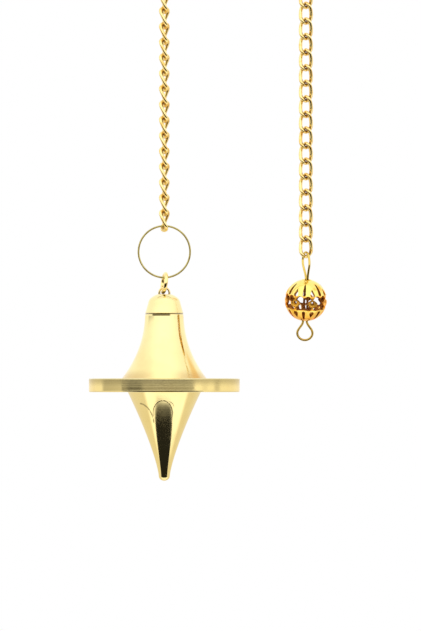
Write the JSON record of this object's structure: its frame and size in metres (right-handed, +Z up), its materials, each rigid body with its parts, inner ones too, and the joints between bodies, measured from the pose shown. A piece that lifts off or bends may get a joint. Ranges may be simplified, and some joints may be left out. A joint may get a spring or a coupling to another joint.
{
  "type": "pendulum pendant",
  "caption": "Brass disc pendulum on a fine curb chain, with a thin round ring, a screw cap with an eye, and a pierced bead at the chain's free end.",
  "frame": {"origin": "underside of the chain's top bend, where a finger, hook or peg holds it", "axes": "+Z up through the hang point; +X from the bob's run of chain to the bead's run; the rings and the lobed openings are seen from -Y"},
  "size_m": [0.0452, 0.0286, 0.1279],
  "materials": {
    "polished_brass": "turned and polished pale brass",
    "gilt_wire": "bright gilt wire",
    "gilt_bead": "bright gilt pierced sheet"
  },
  "bodies": {
    "root": {"chain": "gilt_wire", "pierced_bead": "gilt_bead", "bead_wire": "gilt_wire"},
    "ring": {"large_ring": "gilt_wire"},
    "bail": {"bail_ring": "gilt_wire"},
    "cap": {"cap": "polished_brass"},
    "bob": {"bob_body": "polished_brass"}
  },
  "joints": [
    {"name": "ring_swing", "type": "hinge", "parent": "root", "child": "ring", "pos_m": [-0.01345, 0, -0.07691], "axis": [1, 0, 0], "range_deg": [-60, 60]},
    {"name": "bail_swing", "type": "hinge", "parent": "ring", "child": "bail", "pos_m": [-0.01345, 0, -0.08671], "axis": [1, 0, 0], "range_deg": [-60, 60]},
    {"name": "bob_swing", "type": "hinge", "parent": "bail", "child": "cap", "pos_m": [-0.01345, 0, -0.08951], "axis": [0, 1, 0], "range_deg": [-35, 35]},
    {"name": "cap_turn", "type": "hinge", "parent": "cap", "child": "bob", "pos_m": [-0.01345, 0, -0.09353], "axis": [0, 0, 1], "range_deg": [0, 360]}
  ]
}
